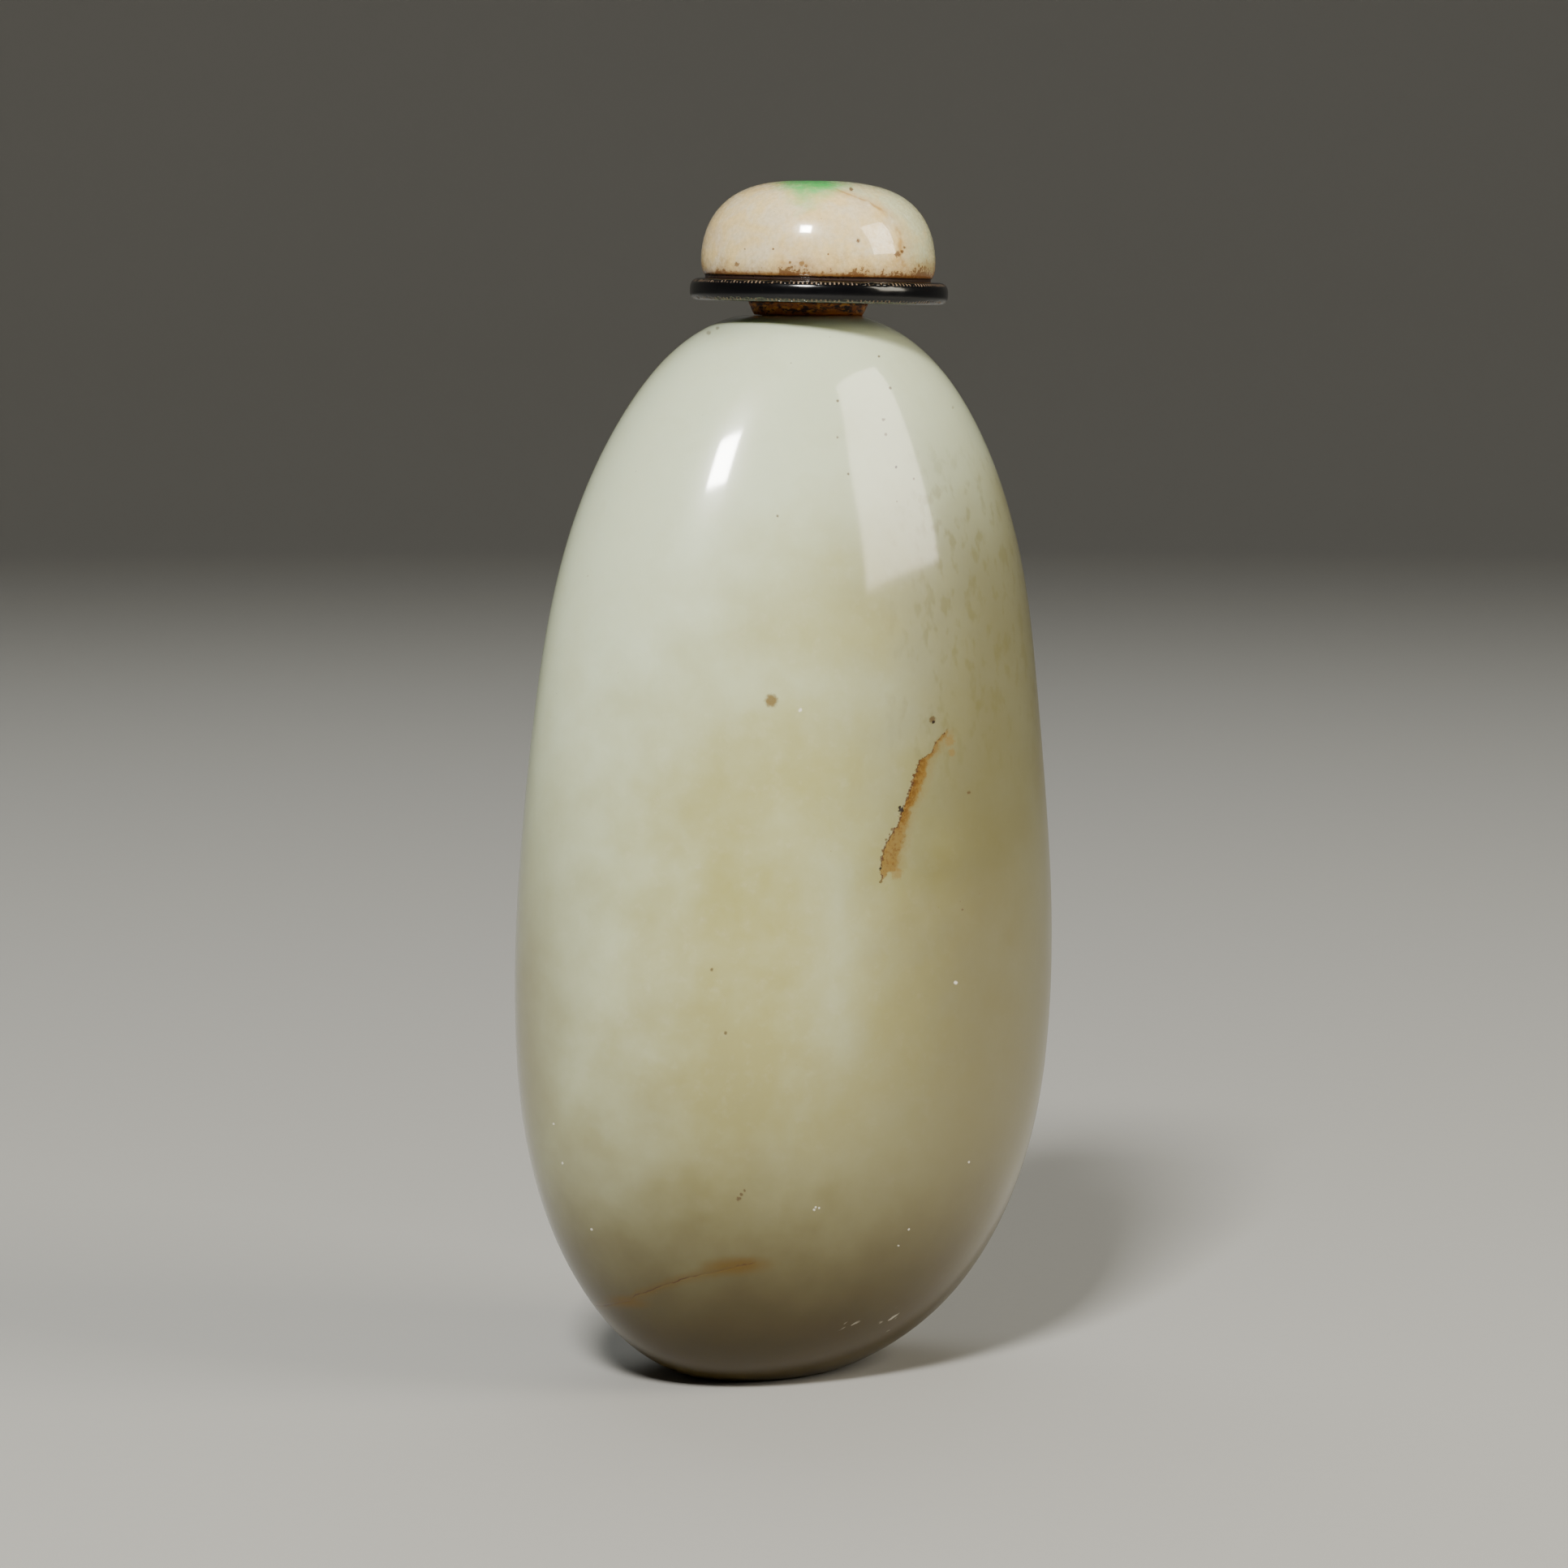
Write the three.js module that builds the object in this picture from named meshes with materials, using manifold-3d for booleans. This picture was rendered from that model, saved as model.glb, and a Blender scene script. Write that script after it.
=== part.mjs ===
// A pebble-shaped jade snuff bottle and its stopper of a cork, a thin black collar and a domed jadeite cap.
// Millimetres, +Z up. The origin is the centre of the small flat foot. The broad front faces -Y.
import * as THREE from "three";
import { mergeVertices } from "three/addons/utils/BufferGeometryUtils.js";
import Module from "manifold-3d";

const wasm = await Module();
wasm.setup();

// Bottle
const bottleHeight = 65.3;
const bottleWidth = 35.3;
const bottleDepth = 24.3;
const footLength = 10.8;
const mouthDiameter = 7.9;
const frontBow = 0.7; // how far the belly stands forward of the foot and the mouth

// Hollow
const wallThickness = 3.2;
const floorThickness = 4.5;
const neckLength = 5.5;
const boreDiameter = 6.1;
const boreOffset = 0.65; // the bore was drilled this far to the right of the mouth's centre

// Stopper
const corkRise = 0.8; // height of the collar's underside above the mouth
const corkFlare = 0.45; // how much wider the cork's radius is under the collar than on the mouth
const corkRimOverlap = 0.25; // how far the cork's shoulder lies over the rim of the bore
const corkPlugLength = 6;
const corkPlugTaper = 0.25; // how much narrower the plug's radius is at its lower end
const collarDiameter = 15.9;
const collarThickness = 1.35;
const collarTopRound = 0.55;
const collarUnderRound = 0.45;
const collarOffset = 0.75; // the collar was glued on this far to the right of the cork
const capDiameter = 14.5;
const capHeight = 5.85;
const capSkirtHeight = 0.6; // height of the cap's widest place above its base
const capSkirtDraw = 0.2; // how much the cap draws in from there to its base
const capOffset = 0.65; // the cap was glued on this far to the right of the cork
const stopperTiltRight = THREE.MathUtils.degToRad(1.05);
const stopperTiltForward = THREE.MathUtils.degToRad(0.6);
const fitClearance = 0.3; // between the cork and the bore
const seatGap = 0.2; // between pieces that rest on each other

// The pebble's form from foot to mouth, at even steps of angle, as shares of its width, depth and height
const pebbleForm = [
  { width: 1.39, depth: 1.45, lean: 0 },
  { width: 1.245, depth: 1.265, lean: 0.0135 },
  { width: 1.125, depth: 1.13, lean: 0.0175 },
  { width: 1.015, depth: 1.015, lean: 0.0195 },
  { width: 0.967, depth: 0.97, lean: 0.0215 },
  { width: 1.012, depth: 1.045, lean: 0.029 },
  { width: 1.083, depth: 1.225, lean: 0.0365 },
  { width: 1.205, depth: 1.75, lean: 0.038 },
];
const pebbleFullness = 0.12; // how far a section's outline is fuller than an ellipse, 0 for none
const domePowers = { across: 3.1, upwards: 2.3 }; // of the cap's outline, where 2 and 2 would be an ellipse

// Facets
const pebbleSides = 52;
const pebbleRings = 34;
const cavitySides = 36;
const cavityRings = 20;
const boreSides = 36;
const stopperSides = 48;
const domeRings = 12;
const cornerSteps = 4;

// A point of this curve holds a half width, a half depth and a lean.
const formCurve = new THREE.CatmullRomCurve3(
  pebbleForm.map(({ width, depth, lean }) => {
    return new THREE.Vector3((width * bottleWidth) / 2, (depth * bottleDepth) / 2, lean * bottleHeight);
  }),
  false,
  "catmullrom",
  0.5,
);
const footAngle = Math.asin(footLength / 2 / formCurve.points[0].x);
const mouthAngle = Math.asin(mouthDiameter / 2 / formCurve.points.at(-1).x);
const formAngle = Math.PI - footAngle - mouthAngle;
const formRise = Math.cos(footAngle) + Math.cos(mouthAngle);

// The angle from the foot's pole at a height of the pebble.
function angleAt(height) {
  const cosine = Math.cos(footAngle) - (formRise * height) / bottleHeight;
  return Math.acos(THREE.MathUtils.clamp(cosine, -1, 1));
}

// Half width, half depth and lean that the form has at a height, before its ends are rounded in.
function formAt(height) {
  const share = (angleAt(height) - footAngle) / formAngle;
  return formCurve.getPoint(THREE.MathUtils.clamp(share, 0, 1));
}

// Where the middle of a section stands at a height.
function middleAt(height) {
  const bow = frontBow * Math.sin((Math.PI * height) / bottleHeight);
  return new THREE.Vector2(formAt(height).z, -bow);
}

// One coordinate of a section's outline, fuller than the ellipse's.
function fuller(value, fullness) {
  return Math.sign(value) * Math.abs(value) ** (2 / (2 + fullness));
}

// Moves each vertex of a geometry that stands along Z.
function reshape(geometry, move) {
  geometry.rotateX(Math.PI / 2);
  const place = geometry.getAttribute("position");
  const vertex = new THREE.Vector3();
  for (let i = 0; i < place.count; i++) {
    vertex.fromBufferAttribute(place, i);
    move(vertex);
    place.setXYZ(i, vertex.x, vertex.y, vertex.z);
  }
  return geometry;
}

// The outer surface: a closed drum whose rings are set out along the form, flat at foot and mouth.
function pebbleGeometry() {
  const drum = new THREE.CylinderGeometry(1, 1, 1, pebbleSides, pebbleRings);
  return reshape(drum, (v) => {
    const angle = footAngle + (v.z + 0.5) * formAngle;
    const height = (bottleHeight * (Math.cos(footAngle) - Math.cos(angle))) / formRise;
    const form = formAt(height);
    const middle = middleAt(height);
    const fullness = pebbleFullness * Math.sin(angle);
    const x = form.x * Math.sin(angle) * fuller(v.x, fullness);
    const y = form.y * Math.sin(angle) * fuller(v.y, fullness);
    v.set(middle.x + x, middle.y + y, height);
  });
}

// The hollow, which follows the outside at the wall's thickness, with a round floor and shoulders.
function cavityGeometry() {
  const cavityHeight = bottleHeight - floorThickness - neckLength;
  const ball = new THREE.SphereGeometry(1, cavitySides, cavityRings);
  return reshape(ball, (v) => {
    const height = floorThickness + (cavityHeight * (v.z + 1)) / 2;
    const form = formAt(height);
    const middle = middleAt(height);
    v.set(middle.x + (form.x - wallThickness) * v.x, middle.y + (form.y - wallThickness) * v.y, height);
  });
}

// The straight bore from above the mouth down into the hollow.
function boreGeometry() {
  const reach = neckLength + boreDiameter / 2;
  const overcut = 1;
  const bore = new THREE.CylinderGeometry(boreDiameter / 2, boreDiameter / 2, reach + overcut, boreSides);
  bore.rotateX(Math.PI / 2);
  const middle = middleAt(bottleHeight);
  bore.translate(middle.x + boreOffset, middle.y, bottleHeight + (overcut - reach) / 2);
  return bore;
}

// A solid that can be cut, from a closed geometry.
function solidOf(geometry) {
  const bare = geometry.clone();
  bare.deleteAttribute("normal");
  bare.deleteAttribute("uv");
  const merged = mergeVertices(bare);
  const triangles = [];
  for (let i = 0; i < merged.index.count; i += 3) {
    const corners = [0, 1, 2].map((k) => merged.index.getX(i + k));
    if (new Set(corners).size === 3) triangles.push(...corners);
  }
  return new wasm.Manifold(
    new wasm.Mesh({
      numProp: 3,
      vertProperties: new Float32Array(merged.getAttribute("position").array),
      triVerts: new Uint32Array(triangles),
    }),
  );
}

function geometryOf(solid) {
  const mesh = solid.getMesh();
  const geometry = new THREE.BufferGeometry();
  geometry.setAttribute("position", new THREE.BufferAttribute(mesh.vertProperties, mesh.numProp));
  geometry.setIndex(new THREE.BufferAttribute(mesh.triVerts, 1));
  geometry.computeVertexNormals();
  return geometry;
}

function piece(name, geometry, colour, roughness) {
  const material = new THREE.MeshStandardMaterial({ color: colour, roughness, metalness: 0 });
  const mesh = new THREE.Mesh(geometry, material);
  mesh.name = name;
  return mesh;
}

function bottle() {
  const pebble = solidOf(pebbleGeometry());
  const hollowed = pebble.subtract(solidOf(cavityGeometry())).subtract(solidOf(boreGeometry()));
  return piece("bottle", geometryOf(hollowed), 0xc3c3ab, 0.3);
}

// A shape turned about Z. Its profile runs out from the axis along the underside and back over the top.
function turned(profile) {
  return new THREE.LatheGeometry(profile, stopperSides).rotateX(Math.PI / 2);
}

function quarterRound(radius, height, round, startAngle) {
  const endAngle = startAngle + Math.PI / 2;
  const arc = new THREE.EllipseCurve(radius - round, height, round, round, startAngle, endAngle);
  return arc.getPoints(cornerSteps);
}

// The cork: a plug in the bore, which swells over the rim of the bore and flares up to the collar.
function cork() {
  const shoulderRadius = boreDiameter / 2 + corkRimOverlap;
  const plugRadius = boreDiameter / 2 - fitClearance;
  const profile = [
    new THREE.Vector2(0, -corkPlugLength),
    new THREE.Vector2(plugRadius - corkPlugTaper, -corkPlugLength),
    new THREE.Vector2(plugRadius, seatGap),
    new THREE.Vector2(shoulderRadius, seatGap),
    new THREE.Vector2(shoulderRadius + corkFlare, corkRise - seatGap),
    new THREE.Vector2(0, corkRise - seatGap),
  ];
  return piece("cork", turned(profile), 0x5e3a18, 0.85);
}

// The collar: a flat black disc with rounded edges.
function collar() {
  const radius = collarDiameter / 2;
  const top = corkRise + collarThickness;
  const underEdge = quarterRound(radius, corkRise + collarUnderRound, collarUnderRound, -Math.PI / 2);
  const topEdge = quarterRound(radius, top - collarTopRound, collarTopRound, 0);
  const profile = [new THREE.Vector2(0, corkRise), ...underEdge, ...topEdge, new THREE.Vector2(0, top)];
  const mesh = piece("collar", turned(profile), 0x0b0b0d, 0.12);
  mesh.position.x = collarOffset;
  return mesh;
}

// The cap: a flattened dome that draws in a little to its base.
function cap() {
  const radius = capDiameter / 2;
  const base = corkRise + collarThickness + seatGap;
  const domeHeight = capHeight - capSkirtHeight;
  const profile = [new THREE.Vector2(0, base), new THREE.Vector2(radius - capSkirtDraw, base)];
  for (let i = 0; i < domeRings; i++) {
    const angle = (i / domeRings) * (Math.PI / 2);
    const across = Math.cos(angle) ** (2 / domePowers.across);
    const upwards = Math.sin(angle) ** (2 / domePowers.upwards);
    profile.push(new THREE.Vector2(radius * across, base + capSkirtHeight + domeHeight * upwards));
  }
  profile.push(new THREE.Vector2(0, base + capHeight));
  const mesh = piece("cap", turned(profile), 0xd9cdb8, 0.22);
  mesh.position.x = capOffset;
  return mesh;
}

// The stopper stands on the mouth over the bore, a little out of true. Its own zero is the mouth.
function stopper() {
  const group = new THREE.Group();
  const middle = middleAt(bottleHeight);
  group.position.set(middle.x + boreOffset, middle.y, bottleHeight);
  group.rotation.set(stopperTiltForward, stopperTiltRight, 0);
  group.add(cork(), collar(), cap());
  return group;
}

const snuffBottle = new THREE.Group();
snuffBottle.add(bottle(), stopper());

export default snuffBottle;
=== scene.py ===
"""Models the looks of a jade snuff bottle and its stopper round the solids of its frame.

Metres, +Z up. The broad front faces -Y. The stains, cracks and specks lie on the face that looks to
the front and a little to the left, and are placed on it by two lengths in millimetres: how far across
that face to the right of the foot's centre, and how high above the foot.
"""
import math

import bmesh
import bpy
from bpy.props import FloatProperty, FloatVectorProperty, PointerProperty
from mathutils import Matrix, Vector, noise


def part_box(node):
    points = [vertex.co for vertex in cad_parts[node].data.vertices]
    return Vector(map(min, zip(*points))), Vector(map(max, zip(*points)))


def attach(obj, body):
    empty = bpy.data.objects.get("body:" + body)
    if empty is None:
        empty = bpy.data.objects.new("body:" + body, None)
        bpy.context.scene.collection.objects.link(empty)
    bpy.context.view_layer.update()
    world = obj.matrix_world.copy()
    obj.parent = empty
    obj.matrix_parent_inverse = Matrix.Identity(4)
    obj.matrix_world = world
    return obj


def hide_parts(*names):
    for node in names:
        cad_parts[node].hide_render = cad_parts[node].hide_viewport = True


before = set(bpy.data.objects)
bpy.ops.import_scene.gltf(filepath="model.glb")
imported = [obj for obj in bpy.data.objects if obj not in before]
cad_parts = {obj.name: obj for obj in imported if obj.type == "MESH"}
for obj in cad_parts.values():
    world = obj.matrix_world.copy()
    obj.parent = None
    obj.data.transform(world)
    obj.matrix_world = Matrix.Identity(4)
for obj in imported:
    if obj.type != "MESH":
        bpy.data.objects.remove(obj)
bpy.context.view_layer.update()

bl_info = {
    "name": "Jade snuff bottle",
    "version": (1, 0, 0),
    "blender": (4, 5, 0),
    "location": "View3D > Sidebar > Snuff bottle",
    "description": "Models and dresses a jade snuff bottle and its stopper round their solids",
    "category": "Object",
}

MM = 0.001
TOUCH = 0.01 * MM  # places closer than this are one place
WELD = 0.001 * MM  # corners of a solid closer than this are one corner
GLUE = 0.22 * MM  # thickness of the old glue in the gaps on both sides of the collar
SMOOTHING = 2  # how often each piece is subdivided

# The marked face, which is also the one that the camera looks at
FACE_AZIMUTH = math.radians(-30)
ACROSS = Vector((math.cos(FACE_AZIMUTH), math.sin(FACE_AZIMUTH), 0))
TOWARDS = Vector((math.sin(FACE_AZIMUTH), -math.cos(FACE_AZIMUTH), 0))

# Camera
CAMERA_ELEVATION = math.radians(6)
CAMERA_DISTANCE = 0.3
CAMERA_LENS = 111.8
CAMERA_SENSOR = 36
AIM_ACROSS = 1.25 * MM
AIM_HEIGHT = 36.56 * MM

# Floor
COVE_RADIUS = 1.5
COVE_HEIGHT = 1.0
COVE_ROUND = 0.6

# All markings are given in millimetres across the marked face and up it.

# The russet fissure from its foot up, and at heights how far its stain reaches to the right of it
FISSURE = (
    (7.1, 31.9), (6.95, 32.4), (7.05, 32.9), (7.2, 33.7), (7.5, 34.3), (7.75, 34.7), (8.15, 35.3),
    (8.3, 36.0), (8.65, 36.7), (8.95, 37.7), (9.15, 38.3), (9.35, 38.9), (10.1, 39.3), (10.35, 39.9),
    (10.85, 40.4),
)
OPEN_FISSURE = FISSURE[:-5]  # all of it but its closed upper end
FISSURE_STAIN = (
    (31.7, 0.2), (32.1, 0.9), (32.7, 1.05), (33.5, 1.1), (34.1, 1.0), (34.6, 0.8), (35.2, 0.55),
    (36.0, 0.5), (37.0, 0.65), (38.0, 0.7), (38.8, 0.6), (39.3, 0.28), (39.8, 0.26), (40.2, 0.36),
    (40.6, 0.1),
)

# The hairline near the base from left to right, with the middle, width and height of its smudges
HAIRLINE = (
    (-10.2, 5.05), (-8.75, 5.8), (-8.05, 6.05), (-7.75, 6.5), (-7.05, 6.8), (-5.9, 7.4), (-4.8, 7.85),
    (-3.6, 8.2), (-3.3, 8.25), (-1.6, 8.65), (-0.5, 8.95),
)
HAIRLINE_SMUDGES = (((-8.3, 5.95), 2.2, 0.7), ((-1.6, 8.75), 3.4, 0.9))

# Middle, width and height of the olive zones on the marked face
OLIVE_ZONES = (
    ((-1.5, 37.0), 13, 14), ((-0.7, 30.0), 14, 18), ((-0.5, 21.0), 14, 18), ((3.0, 38.0), 14, 14),
    ((9.5, 30.0), 14, 30), ((5.0, 47.5), 12, 10),
)

# Places and widths of the dots that stand out on the marked face, and of its scuffed spots
BLOT = ((0.5, 42.8, 0.72),)
SOOT_DOTS = (
    (8.25, 36.0, 0.3), (8.15, 36.15, 0.2), (7.95, 56.3, 0.16), (10.2, 41.1, 0.2), (6.98, 32.6, 0.16),
)
UMBER_DOTS = (
    (10.15, 41.25, 0.34), (12.4, 36.7, 0.18), (12.0, 29.7, 0.13), (-3.0, 27.0, 0.18), (-2.2, 23.2, 0.18),
    (7.7, 34.9, 0.2), (7.35, 34.3, 0.17), (7.55, 34.6, 0.13), (7.0, 31.8, 0.18), (0.87, 53.57, 0.18),
    (4.45, 60.28, 0.16), (4.44, 58.13, 0.14), (7.23, 59.13, 0.18), (7.33, 58.27, 0.18), (5.07, 55.98, 0.14),
    (9.04, 55.59, 0.13), (11.53, 59.73, 0.15), (7.64, 61.0, 0.16), (6.97, 62.88, 0.15), (7.99, 54.29, 0.13),
    (-3.33, 64.27, 0.26), (-2.79, 64.56, 0.22), (-1.45, 13.05, 0.26), (-1.3, 13.3, 0.2),
    (-1.1, 13.55, 0.16),
)
OCHRE_DOTS = ((8.0, 32.2, 0.6), (11.2, 39.9, 0.6), (11.35, 39.2, 0.4))
CHALK_DOTS = (
    (2.2, 42.2, 0.2), (11.6, 25.3, 0.2), (3.05, 12.1, 0.14), (3.15, 12.25, 0.12), (3.35, 12.2, 0.12),
    (8.83, 10.15, 0.13), (8.19, 9.17, 0.12), (12.54, 13.93, 0.13), (-12.58, 17.08, 0.13),
    (-12.06, 14.7, 0.13), (-10.32, 10.66, 0.13),
)
SCUFFS = ((5.3, 3.8, 1.6), (7.9, 3.9, 2.0), (13.5, 12.6, 1.0))

# The brown vein of the cap, from its top down, and the cap's dots
VEIN = ((4.4, 72.9), (6.2, 72.2), (7.3, 71.5), (8.0, 70.6), (8.3, 69.8), (8.25, 68.9), (8.6, 68.2))
CAP_DOTS = (
    (5.3, 72.9, 0.24), (5.7, 69.8, 0.22), (8.1, 69.0, 0.36), (8.35, 69.15, 0.2), (8.5, 69.4, 0.16),
    (2.3, 68.4, 0.32), (2.55, 68.3, 0.18), (1.6, 68.5, 0.16), (-1.6, 68.4, 0.26), (0.6, 69.3, 0.12),
    (-1.1, 69.3, 0.1), (3.9, 69.0, 0.1),
)

TICKS = 180  # tiny chips round each edge of the collar


def paint(red, green, blue):
    """A colour given as the eye reads it, from 0 to 255, in the renderer's own linear values."""
    return tuple(((value / 255 + 0.055) / 1.055) ** 2.4 for value in (red, green, blue))


class BottleSettings(bpy.types.PropertyGroup):
    """The bottle's colours and the depth of its marks."""

    pale: FloatVectorProperty(
        name="Pale jade", description="Colour of the cleanest jade", subtype="COLOR", size=3,
        min=0, max=1, default=paint(208, 218, 186),
    )
    deep: FloatVectorProperty(
        name="Deep jade", description="Colour of the olive, denser jade", subtype="COLOR", size=3,
        min=0, max=1, default=paint(170, 166, 106),
    )
    # Partly painted shade: this greyer jade darkens the lower part and the lower left, where less light
    # falls.
    grey_jade_and_shade: FloatVectorProperty(
        name="Dusk", description="Colour of the greyer jade of the lower third", subtype="COLOR", size=3,
        min=0, max=1, default=paint(120, 112, 74),
    )
    # Partly painted shade: this browner jade darkens the right flank, where less light reaches it.
    flank_jade_and_shade: FloatVectorProperty(
        name="Flank", description="Colour of the brownish jade of the right flank", subtype="COLOR",
        size=3, min=0, max=1, default=paint(97, 89, 56),
    )
    # Partly painted shade: the real brown skin is laid on darker, as shade on the base, which faces down.
    skin: FloatVectorProperty(
        name="Skin", description="Colour of the brown skin round the base", subtype="COLOR", size=3,
        min=0, max=1, default=paint(66, 52, 18),
    )
    ochre: FloatVectorProperty(
        name="Ochre stain", description="Colour of the iron stain round the cracks", subtype="COLOR",
        size=3, min=0, max=1, default=paint(124, 88, 16),
    )
    crack: FloatVectorProperty(
        name="Crack", description="Colour of the dirt in the cracks", subtype="COLOR", size=3,
        min=0, max=1, default=paint(74, 42, 16),
    )
    waviness: FloatProperty(
        name="Waviness", description="How far the hand-ground skin strays from the true form",
        unit="LENGTH", min=0, default=0.08 * MM,
    )
    fissure_depth: FloatProperty(
        name="Fissure depth", description="Depth of the russet fissure", unit="LENGTH", min=0,
        default=0.05 * MM,
    )
    fissure_width: FloatProperty(
        name="Fissure width", description="Width of the russet fissure", unit="LENGTH", min=0,
        default=0.16 * MM,
    )


class StopperSettings(bpy.types.PropertyGroup):
    """The stopper's colours."""

    cream: FloatVectorProperty(
        name="Cream jadeite", description="Main colour of the cap", subtype="COLOR", size=3,
        min=0, max=1, default=paint(232, 206, 146),
    )
    icy: FloatVectorProperty(
        name="Icy jadeite", description="Colour of the cap's clearer side", subtype="COLOR", size=3,
        min=0, max=1, default=paint(196, 206, 166),
    )
    emerald: FloatVectorProperty(
        name="Emerald", description="Colour of the cap's green patch", subtype="COLOR", size=3,
        min=0, max=1, default=paint(4, 190, 80),
    )
    grime: FloatVectorProperty(
        name="Grime", description="Colour of the old glue and dirt at the cap's base", subtype="COLOR",
        size=3, min=0, max=1, default=paint(100, 62, 18),
    )
    black: FloatVectorProperty(
        name="Collar black", description="Colour of the polished collar", subtype="COLOR", size=3,
        min=0, max=1, default=paint(5, 5, 7),
    )
    cork: FloatVectorProperty(
        name="Cork", description="Colour of the stained cork", subtype="COLOR", size=3,
        min=0, max=1, default=paint(150, 84, 20),
    )


class StageSettings(bpy.types.PropertyGroup):
    """The floor and the lights."""

    floor: FloatVectorProperty(
        name="Floor", description="Colour of the plain floor", subtype="COLOR", size=3,
        min=0, max=1, default=paint(162, 161, 157),
    )
    air: FloatProperty(
        name="Surroundings", description="Brightness of the pale surroundings", min=0, default=0.05,
    )
    key: FloatProperty(
        name="Key light", description="Power of the light over the camera's left", unit="POWER", min=0,
        default=6.0,
    )
    side: FloatProperty(
        name="Side light", description="Power of the broad warm light on the right", unit="POWER",
        min=0, default=2.0,
    )
    top: FloatProperty(
        name="Top light", description="Power of the broad light over the back", unit="POWER", min=0,
        default=1.5,
    )


def socket_name(word):
    """The shader's own name of a socket, from the word that stands for it in this script."""
    return word.replace("_", " ").title().replace("Ior", "IOR")


class Number:
    """A number that a material works out as it goes. Sums on it add Math nodes."""

    def __init__(self, finish, socket):
        self.finish = finish
        self.socket = socket

    def sum(self, operation, *terms):
        return self.finish.node("ShaderNodeMath", {"operation": operation}, terms)

    def __add__(self, other):
        return self.sum("ADD", self, other)

    def __sub__(self, other):
        return self.sum("SUBTRACT", self, other)

    def __rsub__(self, other):
        return self.sum("SUBTRACT", other, self)

    def __mul__(self, other):
        return self.sum("MULTIPLY", self, other)

    def __truediv__(self, other):
        return self.sum("DIVIDE", self, other)

    def least(self, other):
        return self.sum("MINIMUM", self, other)

    def most(self, other):
        return self.sum("MAXIMUM", self, other)

    def size(self):
        return self.sum("ABSOLUTE", self)

    def sine(self):
        return self.sum("SINE", self)

    def angle(self, other):
        return self.sum("ARCTAN2", self, other)

    __radd__ = __add__
    __rmul__ = __mul__


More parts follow.
